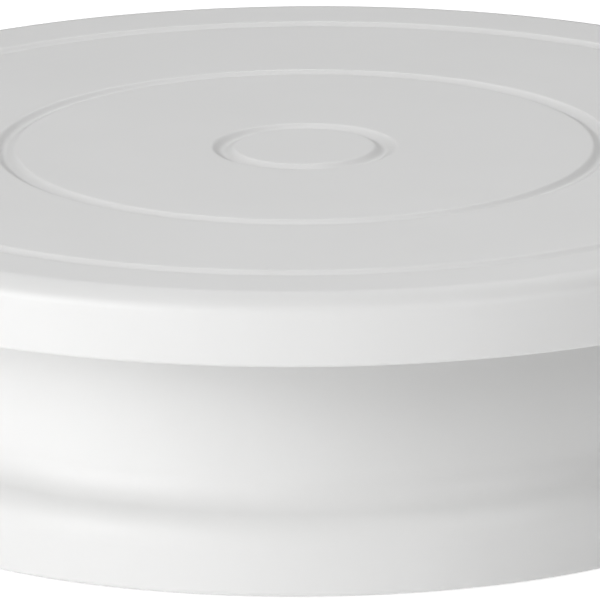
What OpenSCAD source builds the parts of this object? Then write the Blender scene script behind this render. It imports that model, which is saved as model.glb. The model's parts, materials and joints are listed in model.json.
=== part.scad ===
// Revolving cake stand: a round plate that turns on a ball bearing above a flared drum base.
// Millimetres, +Z up. The origin is on the floor, under the middle of the stand.

/* [Overall] */
// Height from the floor to the top of the plate
stand_h = 87; // [75:0.5:140]
// Outer diameter of the plate
plate_d = 304.8; // [254:0.1:380]

/* [Plate] */
// Thickness of the plate's skin
plate_skin = 3.2; // [2.6:0.1:5]
// Depth of the rim, from the top of the plate to its lower edge
rim_h = 18; // [14:0.5:24]
// Wall of the rim
rim_t = 3; // [2:0.1:4]
// How far in from the rim the flat top ends
edge_run = 8.1; // [6:0.1:12]
// How far down the rounded edge reaches
edge_drop = 4.6; // [4:0.1:7]
// Radius where the rounded edge turns down into the rim
edge_r = 3; // [1.5:0.1:3.6]
// Radius inside the corner between skin and rim
rim_corner_r = 6; // [2:0.5:8]
// Depth of the ribs under the plate
plate_rib_h = 6; // [3:0.5:7]

/* [Guide grooves] */
// Diameter of the groove round the middle of the plate
centre_groove_d = 41.6; // [34:0.1:56]
// Width of the groove round the middle
centre_groove_w = 6.4; // [2:0.1:7]
// Depth of the groove round the middle
centre_groove_depth = 1.2; // [0.4:0.1:1.6]
// How far in from the rim the inner guide groove runs
inner_groove_inset = 75.8; // [60:0.1:84]
// How far in from the rim the outer guide groove runs
outer_groove_inset = 25.4; // [16:0.1:40]
// Width of the two guide grooves
guide_groove_w = 6; // [2:0.1:7]
// Depth of the two guide grooves
guide_groove_depth = 1.1; // [0.3:0.1:1.4]

/* [Base] */
// Diameter of the neck
neck_d = 227; // [190:0.5:276]
// How far the foot flares out beyond the neck
foot_flare = 9.5; // [6:0.5:14]
// Height of the foot's upright wall above its lower edge
foot_wall_h = 12.5; // [8:0.5:16]
// Height of the curve between the foot's wall and the neck
flare_h = 16.5; // [15:0.5:24]
// Share of that curve that is hollow
cove_share = 0.5; // [0.45:0.01:0.7]
// Wall of the base
base_wall = 3; // [2:0.1:3.6]
// Thickness of the deck across the top of the base
deck_t = 3.2; // [2.6:0.1:5]
// Radius round the top of the neck
deck_corner_r = 6; // [4:0.5:9]
// Depth of the ribs under the deck
deck_rib_h = 14; // [6:0.5:18]

/* [Bearing] */
// Diameter of the circle that the balls run on
track_d = 150; // [120:0.5:182]
// Diameter of a bearing ball
ball_d = 8; // [6.4:0.1:9.8]
// Number of bearing balls
ball_count = 12; // [6:1:16]
// Thickness of the pressed steel races
race_t = 1.2; // [0.8:0.1:1.6]
// Depth of the track pressed into each race
track_depth = 1.4; // [0.8:0.1:1.7]
// Thickness of the ball cage
cage_t = 2; // [1.4:0.1:3]
// Thickness of the seat that holds the upper race
seat_t = 2.4; // [2.2:0.1:4]

/* [Spindle] */
// Diameter of the spindle
spindle_d = 10; // [8:0.1:12]
// Diameter of the spindle's threaded end
thread_d = 8; // [5:0.1:9.6]
// Length of the brass insert in the plate
insert_h = 7; // [4:0.1:8]
// Wall of the brass insert
insert_wall = 3; // [1.6:0.1:4]
// Length of the hub under the deck
hub_len = 24; // [14:0.5:30]
// Wall of the spindle's bush
bush_wall = 3; // [1.6:0.1:4]

/* [Fasteners] */
// Core diameter of the screws
screw_d = 3.2; // [2.4:0.1:3.8]
// Diameter of the screw heads
screw_head_d = 6.6; // [5:0.1:8]
// Height of the screw heads
screw_head_h = 1.9; // [1.2:0.1:2.3]
// Length of the screws that hold the upper race
upper_screw_len = 5; // [4:0.1:5.6]
// Length of the screws that hold the lower race
lower_screw_len = 8; // [6:0.1:12]
// Length of the screws that hold the cover
cover_screw_len = 12; // [8:0.1:20]

/* [Cover and feet] */
// Thickness of the cover that closes the base
cover_t = 3; // [2.4:0.1:4]
// How far the cover sits above the base's lower edge
cover_recess = 1.5; // [0.5:0.1:3]
// Diameter of a rubber foot
foot_d = 18; // [12:0.5:22]
// How far the rubber feet stand below the base
foot_proud = 1; // [0.6:0.1:3]
// Depth of the recess that holds a rubber foot
foot_pocket = 0.8; // [0.4:0.1:1.4]

/* [Clearances] */
// Radial clearance of the spindle in its bush
run_gap = 0.05; // [0.02:0.01:0.1]
// Clearance between a ball and each race
ball_gap = 0.02; // [0.01:0.01:0.05]
// Clearance between a ball and its pocket in the cage
pocket_gap = 0.15; // [0.1:0.01:0.3]
// End play of the spindle
end_play = 0.3; // [0.2:0.05:0.8]
// Clearance between the cover and the base
cover_gap = 0.4; // [0.2:0.05:1]
// Clearance of a screw's core in its hole
core_gap = 0.02; // [0.01:0.01:0.05]

/* [Hidden] */
SCREW_COUNT = 6;
FOOT_COUNT = 6;
RIB_COUNT = 12;
RIB_T = 2;
SINK = 0.8;
ROUND_FN = 144;
SMALL_FN = 48;
ARC_STEPS = 8;

// Radii, outwards from the axis
plate_r = plate_d / 2;
flat_r = plate_r - edge_run;
neck_r = neck_d / 2;
foot_r = neck_r + foot_flare;
track_r = track_d / 2;
ball_r = ball_d / 2;
cage_half_w = ball_r + pocket_gap + 1.25;
race_screw_r = track_r - cage_half_w - screw_head_d / 2 - 0.8;
race_in_r = race_screw_r - screw_head_d / 2 - 1.7;
race_out_r = track_r + cage_half_w + 2.1;
spindle_r = spindle_d / 2;
thread_r = thread_d / 2;
insert_r = thread_r + core_gap + insert_wall;
bush_r = spindle_r + run_gap + bush_wall;
bush_flange_r = bush_r + 3;
hub_r = bush_r + 6;
cover_r = foot_r - base_wall - cover_gap;
cover_screw_r = neck_r - base_wall - 3.5;
foot_circle_r = cover_r - foot_d / 2 - 5;

// Heights, down from the top of the plate
rim_bottom = stand_h - rim_h;
skin_bottom = stand_h - plate_skin;
upper_seat_z = skin_bottom - seat_t;
half_gap = ball_r + ball_gap - track_depth;
ball_z = upper_seat_z - race_t - half_gap;
deck_top = ball_z - half_gap - race_t;
deck_bottom = deck_top - deck_t;
hub_bottom = deck_top - hub_len;
bush_flange_t = 1.5;
boss_bottom = deck_top + bush_flange_t + 1.5;

// Heights, up from the floor
shell_bottom = foot_proud;
foot_wall_top = shell_bottom + foot_wall_h;
neck_bottom = foot_wall_top + flare_h;
cover_bottom = shell_bottom + cover_recess;
cover_top = cover_bottom + cover_t;

// The flare is a hollow arc and a round arc that meet on one slope
flare_angle = 2 * atan(foot_flare / flare_h);
flare_radii = flare_h / sin(flare_angle);
cove_r = flare_radii * cove_share;
shoulder_r = flare_radii - cove_r;
toe_r = 1.5;

// The rounded edge is a wide arc that runs into a tight one
edge_centres = (pow(edge_run - edge_r, 2) + pow(edge_drop - edge_r, 2)) / (2 * (edge_drop - edge_r));
edge_wide_r = edge_centres + edge_r;
edge_turn = asin((edge_run - edge_r) / edge_centres);

// The track's section is an arc a little wider than a ball, with the sheet's thickness outside it
track_arc_r = ball_r + pocket_gap;
track_arc_z = -half_gap - track_depth + track_arc_r;
track_mouth = acos((track_arc_r - track_depth) / track_arc_r);
track_back_r = track_arc_r + race_t;
track_back = acos((track_arc_r - track_depth + race_t) / track_back_r);
channel_half_w = track_back_r * sin(track_back) + 0.8;
channel_depth = track_depth + 0.3;

function ball_name(i) = str("bearing_ball_", i < 10 ? "0" : "", i);
function foot_name(i) = str("foot_", i);

// Points along an arc round (r, z), from angle a to angle b
function arc(r, z, radius, a, b) =
    [for (i = [0:ARC_STEPS]) let (t = a + (b - a) * i / ARC_STEPS) [r + radius * cos(t), z + radius * sin(t)]];

// A round-bottomed dip in the plate's top surface, from its inner lip to its outer lip
function dip(r, w, depth) =
    let (radius = (w * w / 4 + depth * depth) / (2 * depth), half = asin(w / 2 / radius))
    arc(r, stand_h - depth + radius, radius, 270 - half, 270 + half);

// The outline without points that repeat the one before
function tidy(points) =
    [for (i = [0:len(points) - 1]) if (i == 0 || norm(points[i] - points[i - 1]) > 1e-4) points[i]];

module turned(points, sides = ROUND_FN) {
    rotate_extrude($fn = sides) polygon(tidy(points));
}

module ring(inner, outer, bottom, top, sides = ROUND_FN) {
    turned([[inner, bottom], [outer, bottom], [outer, top], [inner, top]], sides);
}

module around(count, radius, start = 0) {
    for (i = [0:count - 1]) rotate([0, 0, start + i * 360 / count]) translate([radius, 0, 0]) children();
}

module radial_ribs(from_r, to_r, bottom, top, start) {
    around(RIB_COUNT, 0, start) translate([from_r, -RIB_T / 2, bottom]) cube([to_r - from_r, RIB_T, top - bottom]);
}

// Pan-head screw with a cross recess: the core hangs from z = 0 and the head stands on it
module pan_screw(length) {
    core_r = screw_d / 2;
    head_r = screw_head_d / 2;
    rim = screw_head_h * 0.45;
    difference() {
        turned([[0, -length], [core_r * 0.3, -length], [core_r, -length + core_r], [core_r, 0],
                [head_r, 0], [head_r, rim], [head_r * 0.86, screw_head_h * 0.8],
                [head_r * 0.55, screw_head_h], [0, screw_head_h]], SMALL_FN);
        for (turn = [0, 90]) rotate([0, 0, turn]) translate([-head_r * 0.55, -0.35, screw_head_h * 0.35])
            cube([head_r * 1.1, 0.7, screw_head_h]);
    }
}

// Pressed race with its track open upwards, drawn with the balls' centres at z = 0
module race() {
    seat = -half_gap - race_t;
    difference() {
        turned(concat(
            [[race_in_r, seat]],
            arc(track_r, track_arc_z, track_back_r, 270 - track_back, 270 + track_back),
            [[race_out_r, seat], [race_out_r, -half_gap]],
            arc(track_r, track_arc_z, track_arc_r, 270 + track_mouth, 270 - track_mouth),
            [[race_in_r, -half_gap]]));
        around(SCREW_COUNT, race_screw_r) translate([0, 0, seat - 1])
            cylinder(r = screw_d / 2 + 0.3, h = race_t + 2, $fn = SMALL_FN);
    }
}

module top_plate() {
    inner_rim_r = plate_r - rim_t;
    lip_r = 1;
    color("whitesmoke") difference() {
        union() {
            turned(concat(
                [[0, stand_h]],
                dip(centre_groove_d / 2, centre_groove_w, centre_groove_depth),
                dip(plate_r - inner_groove_inset, guide_groove_w, guide_groove_depth),
                dip(plate_r - outer_groove_inset, guide_groove_w, guide_groove_depth),
                arc(flat_r, stand_h - edge_wide_r, edge_wide_r, 90, 90 - edge_turn),
                arc(plate_r - edge_r, stand_h - edge_drop, edge_r, 90 - edge_turn, 0),
                arc(plate_r - lip_r, rim_bottom + lip_r, lip_r, 0, -90),
                [[inner_rim_r, rim_bottom]],
                arc(inner_rim_r - rim_corner_r, skin_bottom - rim_corner_r, rim_corner_r, 0, 90),
                [[0, skin_bottom]]));
            ring(race_in_r - 2, race_out_r + 2, upper_seat_z, skin_bottom + SINK);
            ring(neck_r + 5, neck_r + 5 + RIB_T, skin_bottom - plate_rib_h, skin_bottom + SINK);
            radial_ribs(insert_r + 2, race_in_r - 1, skin_bottom - plate_rib_h, skin_bottom + SINK, 15);
            radial_ribs(race_out_r + 1, inner_rim_r + 1, skin_bottom - plate_rib_h, skin_bottom + SINK, 15);
            translate([0, 0, boss_bottom])
                cylinder(r = insert_r + 5, h = skin_bottom + SINK - boss_bottom, $fn = ROUND_FN);
        }
        ring(track_r - channel_half_w, track_r + channel_half_w, upper_seat_z - 1, upper_seat_z + channel_depth);
        translate([0, 0, boss_bottom - 1]) cylinder(r = insert_r, h = insert_h + 1.2, $fn = SMALL_FN);
        around(SCREW_COUNT, race_screw_r, 30) translate([0, 0, upper_seat_z - 1])
            cylinder(r = screw_d / 2 + core_gap, h = upper_screw_len - race_t + 1.2, $fn = SMALL_FN);
    }
}

module upper_race() {
    color("silver") translate([0, 0, ball_z]) rotate([0, 0, 30]) mirror([0, 0, 1]) race();
}

module upper_race_screws() {
    color("lightgray") around(SCREW_COUNT, race_screw_r, 30) translate([0, 0, ball_z + half_gap])
        rotate([180, 0, 0]) pan_screw(upper_screw_len);
}

module hub_insert() {
    color("goldenrod") ring(thread_r + core_gap, insert_r, boss_bottom, boss_bottom + insert_h, SMALL_FN);
}

CLIP_T = 1.2;
WASHER_T = 1;
clip_bottom = hub_bottom - end_play - WASHER_T - CLIP_T;
clip_groove_r = spindle_r - 0.7;

module spindle() {
    bottom = clip_bottom - 2.2;
    top = boss_bottom + insert_h - 0.4;
    bevel = 0.8;
    color("silver") difference() {
        turned([[0, bottom], [spindle_r - bevel, bottom], [spindle_r, bottom + bevel], [spindle_r, clip_bottom],
                [clip_groove_r, clip_bottom], [clip_groove_r, clip_bottom + CLIP_T],
                [spindle_r, clip_bottom + CLIP_T], [spindle_r, boss_bottom], [thread_r, boss_bottom],
                [thread_r, top - bevel], [thread_r - bevel, top], [0, top]], SMALL_FN);
        translate([-spindle_r, -0.6, bottom - 1]) cube([spindle_d, 1.2, 2.2]);
    }
}

module spindle_washer() {
    color("silver") ring(spindle_r + run_gap, bush_flange_r, clip_bottom + CLIP_T, hub_bottom - end_play, SMALL_FN);
}

module spindle_circlip() {
    mouth = spindle_r * 0.7;
    color("dimgray") difference() {
        ring(clip_groove_r, spindle_r + 3, clip_bottom, clip_bottom + CLIP_T, SMALL_FN);
        translate([0, -mouth / 2, clip_bottom - 1]) cube([spindle_d * 2, mouth, CLIP_T + 2]);
    }
}

module ball_cage() {
    color("ivory") difference() {
        ring(track_r - cage_half_w, track_r + cage_half_w, ball_z - cage_t / 2, ball_z + cage_t / 2);
        around(ball_count, track_r) translate([0, 0, ball_z - cage_t])
            cylinder(r = ball_r + pocket_gap, h = cage_t * 2, $fn = SMALL_FN);
    }
}

module bearing_ball(i) {
    color("gainsboro") rotate([0, 0, (i - 1) * 360 / ball_count]) translate([track_r, 0, ball_z])
        sphere(r = ball_r, $fn = SMALL_FN);
}

module base_shell() {
    neck_in_r = neck_r - base_wall;
    deck_fillet_r = 3;
    boss_r = 4.5;
    color("whitesmoke") difference() {
        union() {
            turned(concat(
                arc(foot_r - toe_r, shell_bottom + toe_r, toe_r, 270, 360),
                arc(foot_r - shoulder_r, foot_wall_top, shoulder_r, 0, flare_angle),
                arc(neck_r + cove_r, neck_bottom, cove_r, 180 + flare_angle, 180),
                arc(neck_r - deck_corner_r, deck_top - deck_corner_r, deck_corner_r, 0, 90),
                [[0, deck_top], [0, deck_bottom]],
                arc(neck_in_r - deck_fillet_r, deck_bottom - deck_fillet_r, deck_fillet_r, 90, 0),
                arc(neck_r + cove_r, neck_bottom, cove_r + base_wall, 180, 180 + flare_angle),
                arc(foot_r - shoulder_r, foot_wall_top, shoulder_r - base_wall, flare_angle, 0),
                [[foot_r - base_wall, shell_bottom]]));
            ring(track_r - channel_half_w - 3, track_r + channel_half_w + 3,
                 deck_bottom - channel_depth - 0.8, deck_bottom + SINK);
            translate([0, 0, hub_bottom]) cylinder(r = hub_r, h = hub_len - SINK, $fn = ROUND_FN);
            radial_ribs(bush_r + 2, neck_in_r + 1, deck_bottom - deck_rib_h, deck_bottom + SINK, 15);
            around(SCREW_COUNT, race_screw_r) translate([0, 0, deck_top - lower_screw_len - 0.5])
                cylinder(r = boss_r, h = lower_screw_len - SINK, $fn = SMALL_FN);
            around(SCREW_COUNT, cover_screw_r, 30) translate([0, 0, cover_top])
                cylinder(r = boss_r, h = neck_bottom + 4 - cover_top, $fn = SMALL_FN);
            around(SCREW_COUNT, cover_screw_r, 30) translate([0, -RIB_T / 2, cover_top])
                cube([foot_r - base_wall + 1 - cover_screw_r, RIB_T, foot_wall_top - 1 - cover_top]);
        }
        ring(track_r - channel_half_w, track_r + channel_half_w, deck_top - channel_depth, deck_top + 1);
        translate([0, 0, hub_bottom - 1]) cylinder(r = bush_r, h = hub_len + 2, $fn = ROUND_FN);
        around(SCREW_COUNT, race_screw_r) translate([0, 0, deck_top - lower_screw_len + race_t - 0.2])
            cylinder(r = screw_d / 2 + core_gap, h = lower_screw_len + 1, $fn = SMALL_FN);
        around(SCREW_COUNT, cover_screw_r, 30) translate([0, 0, cover_top - 1])
            cylinder(r = screw_d / 2 + core_gap, h = cover_screw_len + 1, $fn = SMALL_FN);
    }
}

module lower_race() {
    color("silver") translate([0, 0, ball_z]) race();
}

module lower_race_screws() {
    color("lightgray") around(SCREW_COUNT, race_screw_r) translate([0, 0, ball_z - half_gap])
        pan_screw(lower_screw_len);
}

module pivot_bush() {
    bore_r = spindle_r + run_gap;
    color("ivory") turned([[bore_r, hub_bottom], [bush_r, hub_bottom], [bush_r, deck_top],
        [bush_flange_r, deck_top], [bush_flange_r, deck_top + bush_flange_t],
        [bore_r, deck_top + bush_flange_t]], ROUND_FN);
}

counterbore = cover_t / 2;

module base_cover() {
    bevel = 0.6;
    color("whitesmoke") difference() {
        union() {
            turned([[0, cover_bottom], [cover_r - bevel, cover_bottom], [cover_r, cover_bottom + bevel],
                    [cover_r, cover_top], [0, cover_top]]);
            ring(cover_r * 0.3, cover_r * 0.3 + RIB_T, cover_top - SINK, cover_top + 3);
            ring(cover_r * 0.7, cover_r * 0.7 + RIB_T, cover_top - SINK, cover_top + 3);
        }
        around(SCREW_COUNT, cover_screw_r, 30) {
            translate([0, 0, cover_bottom - 1])
                cylinder(r = screw_head_d / 2 + 0.4, h = counterbore + 1, $fn = SMALL_FN);
            translate([0, 0, cover_bottom]) cylinder(r = screw_d / 2 + 0.3, h = cover_t + 1, $fn = SMALL_FN);
        }
        around(FOOT_COUNT, foot_circle_r) translate([0, 0, cover_bottom - 1])
            cylinder(r = foot_d / 2 + 0.1, h = foot_pocket + 1, $fn = SMALL_FN);
    }
}

module cover_screws() {
    color("lightgray") around(SCREW_COUNT, cover_screw_r, 30) translate([0, 0, cover_bottom + counterbore])
        rotate([180, 0, 0]) pan_screw(cover_screw_len);
}

module foot(i) {
    foot_radius = foot_d / 2;
    soft_r = 0.8;
    color("gray") rotate([0, 0, (i - 1) * 360 / FOOT_COUNT]) translate([foot_circle_r, 0, 0])
        turned(concat([[0, 0]], arc(foot_radius - soft_r, soft_r, soft_r, 270, 360),
                      [[foot_radius, cover_bottom + foot_pocket], [0, cover_bottom + foot_pocket]]), SMALL_FN);
}

top_plate();
upper_race();
upper_race_screws();
hub_insert();
spindle();
spindle_washer();
spindle_circlip();
ball_cage();
for (i = [1:ball_count]) bearing_ball(i);
base_shell();
lower_race();
lower_race_screws();
pivot_bush();
base_cover();
cover_screws();
for (i = [1:FOOT_COUNT]) foot(i);
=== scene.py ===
"""Finished look of a revolving cake stand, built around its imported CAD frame.

Every shape is a surface worked out with numpy in millimetres and written to its mesh in metres,
in the frame's own axes: +Z is up and the spindle is the Z axis.
"""

from __future__ import annotations

import json
import logging
import math
from dataclasses import dataclass
from enum import Enum
from typing import ClassVar

import bpy
import numpy as np
from mathutils import Matrix, Vector

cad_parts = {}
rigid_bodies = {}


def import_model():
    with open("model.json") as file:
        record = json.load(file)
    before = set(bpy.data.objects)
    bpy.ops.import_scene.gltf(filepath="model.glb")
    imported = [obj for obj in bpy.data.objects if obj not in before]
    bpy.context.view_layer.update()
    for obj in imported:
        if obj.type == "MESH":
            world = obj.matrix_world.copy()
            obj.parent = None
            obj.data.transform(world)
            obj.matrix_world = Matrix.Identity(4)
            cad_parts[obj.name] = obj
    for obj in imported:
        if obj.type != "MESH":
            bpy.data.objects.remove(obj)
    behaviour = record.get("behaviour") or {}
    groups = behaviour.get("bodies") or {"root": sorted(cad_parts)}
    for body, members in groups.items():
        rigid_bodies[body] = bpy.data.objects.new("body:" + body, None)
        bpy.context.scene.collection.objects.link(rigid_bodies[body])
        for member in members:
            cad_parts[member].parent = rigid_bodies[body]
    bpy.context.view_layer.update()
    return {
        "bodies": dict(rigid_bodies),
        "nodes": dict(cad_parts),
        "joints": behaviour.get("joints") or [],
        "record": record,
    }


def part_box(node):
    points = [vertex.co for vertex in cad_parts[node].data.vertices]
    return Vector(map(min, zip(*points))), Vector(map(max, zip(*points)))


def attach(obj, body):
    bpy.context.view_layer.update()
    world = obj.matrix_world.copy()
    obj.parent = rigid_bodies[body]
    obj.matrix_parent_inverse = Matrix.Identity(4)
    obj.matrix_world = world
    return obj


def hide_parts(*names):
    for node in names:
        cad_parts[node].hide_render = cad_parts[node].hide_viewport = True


LOG = logging.getLogger("cake_stand")
MM = 0.001
FULL_TURN = 2 * math.pi
SHARP_FROM = 35.0  # degrees between faces, above which their edge stays sharp
WELD = 1e-4  # millimetres, within which points become one
Array = np.ndarray
Colour = tuple[float, float, float]


class Slot(Enum):
    """The record's material slots."""

    WHITE_PLASTIC = "white_plastic"
    ZINC_STEEL = "zinc_steel"
    SCREW_STEEL = "screw_steel"
    GROUND_STEEL = "ground_steel"
    SPRING_STEEL = "spring_steel"
    BALL_STEEL = "ball_steel"
    BRASS = "brass"
    NYLON = "natural_nylon"
    RUBBER = "foot_rubber"


# ---------------------------------------------------------------- outlines


def arc(centre: tuple[float, float], radius: float, start: float, end: float, steps: int = 8) -> Array:
    """Points evenly spaced along a circle round centre, from angle start to angle end in degrees.

    Args:
        centre: the circle's middle, as (r, z).
        radius: the circle's radius.
        start: angle of the first point.
        end: angle of the last point.
        steps: number of chords between them.

    Returns:
        The points, shaped (steps + 1, 2).
    """
    angle = np.radians(np.linspace(start, end, steps + 1))
    return np.column_stack([centre[0] + radius * np.cos(angle), centre[1] + radius * np.sin(angle)])


def rounded(corners: list[tuple[float, float, float]], steps: int = 4) -> Array:
    """An outline of straight runs whose corners are rounded.

    A corner of radius q is cut back by q * tan(half its turn) along both its sides, and the arc
    between the cuts has its centre q away from each side. An open outline's two ends have radius 0.

    Args:
        corners: (r, z, radius) for each corner in order.
        steps: chords across each rounded corner.

    Returns:
        The outline's points, shaped (n, 2).
    """
    points = np.array([c[:2] for c in corners], float)
    out: list[Array] = []
    for i, point in enumerate(points):
        radius = corners[i][2]
        if radius <= 0:
            out.append(point[None])
            continue
        before = points[i - 1] - point
        after = points[(i + 1) % len(points)] - point
        before, after = before / np.linalg.norm(before), after / np.linalg.norm(after)
        bend = math.pi - math.acos(float(np.clip(before @ after, -1, 1)))
        cut = radius * math.tan(bend / 2)
        half = before + after
        centre = point + half / np.linalg.norm(half) * math.hypot(radius, cut)
        start, end = point + before * cut - centre, point + after * cut - centre
        first = math.degrees(math.atan2(start[1], start[0]))
        sweep = (math.degrees(math.atan2(end[1], end[0])) - first + 180) % 360 - 180
        out.append(arc((centre[0], centre[1]), radius, first, first + sweep, steps))
    return np.vstack(out)


def spaced(outline: Array, longest: float, guard: float = 0.3) -> Array:
    """The outline with its long straight runs divided, and a point near both ends of each.

    The points near the ends keep the shading of a flat run flat right up to the bends.

    Args:
        outline: points shaped (n, 2).
        longest: the longest run that is left.
        guard: how far from a run's ends the extra points lie.

    Returns:
        The divided outline.
    """
    pieces = []
    for a, b in zip(outline[:-1], outline[1:]):
        length = float(np.linalg.norm(b - a))
        share = np.linspace(0, 1, max(1, math.ceil(length / longest)), endpoint=False)
        if length > 4 * guard:
            share = np.unique(np.concatenate([share, [guard / length, 1 - guard / length]]))
        pieces.append(a + (b - a) * share[:, None])
    return np.vstack([*pieces, outline[-1:]])


def smooth_step(x: Array) -> Array:
    """Rises from 0 to 1 as x goes from 0 to 1, level at both ends: 3x^2 - 2x^3."""
    x = np.clip(x, 0, 1)
    return x * x * (3 - 2 * x)


def spread(count: int, start: float = 0.0) -> Array:
    """Angles of count places evenly round a circle, in radians, the first at start degrees."""
    return math.radians(start) + np.arange(count) * FULL_TURN / count


# ---------------------------------------------------------------- surfaces


class Skin:
    """The surfaces of one piece, gathered one by one and welded where their points meet."""

    def __init__(self) -> None:
        """Starts with nothing in it."""
        self._points: list[Array] = []
        self._faces: list[Array] = []
        self._count = 0

    def grid(self, points: Array, wrap_rows: bool = False, wrap_columns: bool = True,
             inside_out: bool = False) -> None:
        """Adds the surface of a grid of points; face (i, j) joins (i, j), (i+1, j), (i+1, j+1) and (i, j+1).

        Args:
            points: the grid, shaped (rows, columns, 3), in millimetres.
            wrap_rows: whether the last row joins the first.
            wrap_columns: whether the last column joins the first.
            inside_out: whether to turn the faces round.
        """
        rows, columns = points.shape[:2]
        index = np.arange(rows * columns).reshape(rows, columns) + self._count
        if wrap_rows:
            index = np.concatenate([index, index[:1]])
        if wrap_columns:
            index = np.concatenate([index, index[:, :1]], axis=1)
        corners = [index[:-1, :-1], index[1:, :-1], index[1:, 1:], index[:-1, 1:]]
        faces = np.stack(corners, axis=-1).reshape(-1, 4)
        self._faces.append(faces[:, ::-1] if inside_out else faces)
        self._points.append(points.reshape(-1, 3))
        self._count += rows * columns

    def lathe(self, outline: Array, columns: int = 96, closed: bool = False, turn: float = 0.0) -> None:
        """Adds an outline turned about the Z axis.

        Args:
            outline: (r, z) points, running so that the solid lies to the right of the way they go.
            columns: number of places round the axis.
            closed: whether the outline's end joins its start.
            turn: angle of the first column, in degrees.
        """
        self.grid(turned(outline, spread(columns, turn)), wrap_rows=closed)

    def copy_round(self, other: Skin, count: int, r: float, start: float = 0.0, z: float = 0.0,
                   turned_over: bool = False) -> None:
        """Adds count copies of another skin, spaced round the Z axis at radius r.

        Args:
            other: the skin, drawn round the origin with +X outwards.
            count: number of copies.
            r: their radius.
            start: angle of the first, in degrees.
            z: how far they are raised.
            turned_over: whether each is first turned half round its X axis.
        """
        points, faces = np.vstack(other._points), np.vstack(other._faces)
        if turned_over:
            points = points * [1, -1, -1]
        for angle in spread(count, start):
            self._faces.append(faces + self._count)
            self._points.append(placed(points, r, float(angle), z))
            self._count += len(points)

    def piece(self, name: str) -> bpy.types.Object:
        """Writes the gathered surfaces into a new object at the origin.

        Points closer than a ten-thousandth of a millimetre become one vertex, so seams and poles
        close; a face left with two corners on one vertex becomes a triangle or goes.

        Args:
            name: the object's name.

        Returns:
            The object, linked to the scene.
        """
        points, faces = np.vstack(self._points), np.vstack(self._faces)
        key = np.round((points + 0.371 * WELD) / WELD).astype(np.int64)
        _, first, welded = np.unique(key, axis=0, return_index=True, return_inverse=True)
        faces = welded.reshape(-1)[faces]
        doubled = faces == np.roll(faces, -1, axis=1)
        opposite = (faces[:, 0] == faces[:, 2]) | (faces[:, 1] == faces[:, 3])
        quads = faces[~doubled.any(axis=1) & ~opposite]
        folded = (doubled.sum(axis=1) == 1) & ~opposite
        triangles = faces[folded][~doubled[folded]].reshape(-1, 3)
        loops = np.concatenate([quads.ravel(), triangles.ravel()])
        used, loops = np.unique(loops, return_inverse=True)
        sizes = np.concatenate([np.full(len(quads), 4), np.full(len(triangles), 3)])
        mesh = bpy.data.meshes.new(name)
        mesh.vertices.add(len(used))
        mesh.vertices.foreach_set("co", (points[first][used] * MM).astype(np.float32).ravel())
        mesh.loops.add(len(loops))
        mesh.loops.foreach_set("vertex_index", loops.reshape(-1).astype(np.int32))
        mesh.polygons.add(len(sizes))
        mesh.polygons.foreach_set("loop_start", (np.cumsum(sizes) - sizes).astype(np.int32))
        mesh.update(calc_edges=True)
        mesh.validate()
        mesh.shade_smooth()
        mesh.set_sharp_from_angle(angle=math.radians(SHARP_FROM))
        thing = bpy.data.objects.new(name, mesh)
        bpy.context.scene.collection.objects.link(thing)
        return thing


def ring_section(inner: float, outer: float, low: float, high: float, *radii: float) -> Array:
    """A ring's (r, z) section, its corners rounded: inner high, outer high, outer low, inner low."""
    corners = ((inner, high), (outer, high), (outer, low), (inner, low))
    return rounded([(r, z, radius) for (r, z), radius in zip(corners, radii, strict=True)])


def swept(r: Array, angle: Array, z: Array | float) -> Array:
    """Points at radius r, angle a and height z, which is (r cos a, r sin a, z)."""
    x = r * np.cos(angle)
    return np.stack([x, r * np.sin(angle), np.broadcast_to(z, x.shape)], axis=-1)


def turned(outline: Array, angles: Array) -> Array:
    """The grid of an (r, z) outline turned about the Z axis to every angle."""
    return swept(outline[:, :1], angles, outline[:, 1:])


def placed(points: Array, r: float, angle: float, z: float = 0.0) -> Array:
    """Points moved out along X and up, then turned about the Z axis.

    Args:
        points: the points.
        r: how far they move along X.
        angle: how far they then turn, in radians.
        z: how far they rise.

    Returns:
        The points in their new places.
    """
    x, y = points[..., 0] + r, points[..., 1]
    c, s = math.cos(angle), math.sin(angle)
    return np.stack([x * c - y * s, x * s + y * c, points[..., 2] + z], axis=-1)


def sector_with_hole(inner: float, outer: float, half: float, middle: float, hole: float, z: float,
                     columns: int = 16, rows: int = 4) -> Array:
    """A flat piece of a ring with one round hole, as a grid from the hole's edge out to the piece's.

    The hole's edge is cut into 4 * columns equal parts. Point k of it goes in a straight line, in
    radius and angle, to point k of the piece's border, whose four sides take a quarter each.

    Args:
        inner: the ring's inner radius.
        outer: the ring's outer radius.
        half: half the angle that the piece takes of the ring, in radians.
        middle: radius of the hole's centre, which lies at angle 0.
        hole: radius of the hole.
        z: height of the surface.
        columns: chords along each side.
        rows: steps from the hole to the border.

    Returns:
        The grid, shaped (rows + 1, 4 * columns, 3), facing up.
    """
    t = np.arange(columns) / columns
    inward, outward = outer + (inner - outer) * t, inner + (outer - inner) * t
    side_r = [np.full(columns, outer), inward, np.full(columns, inner), outward]
    side_a = [half * (2 * t - 1), np.full(columns, half), half * (1 - 2 * t), np.full(columns, -half)]
    border_r, border_a = np.concatenate(side_r), np.concatenate(side_a)
    phi = -math.pi / 4 + np.arange(4 * columns) * FULL_TURN / (4 * columns)
    x, y = middle + hole * np.cos(phi), hole * np.sin(phi)
    step = np.linspace(0, 1, rows + 1)[:, None] ** 1.5
    r = np.hypot(x, y) * (1 - step) + border_r * step
    a = np.arctan2(y, x) * (1 - step) + border_a * step
    return swept(r, a, z)


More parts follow.
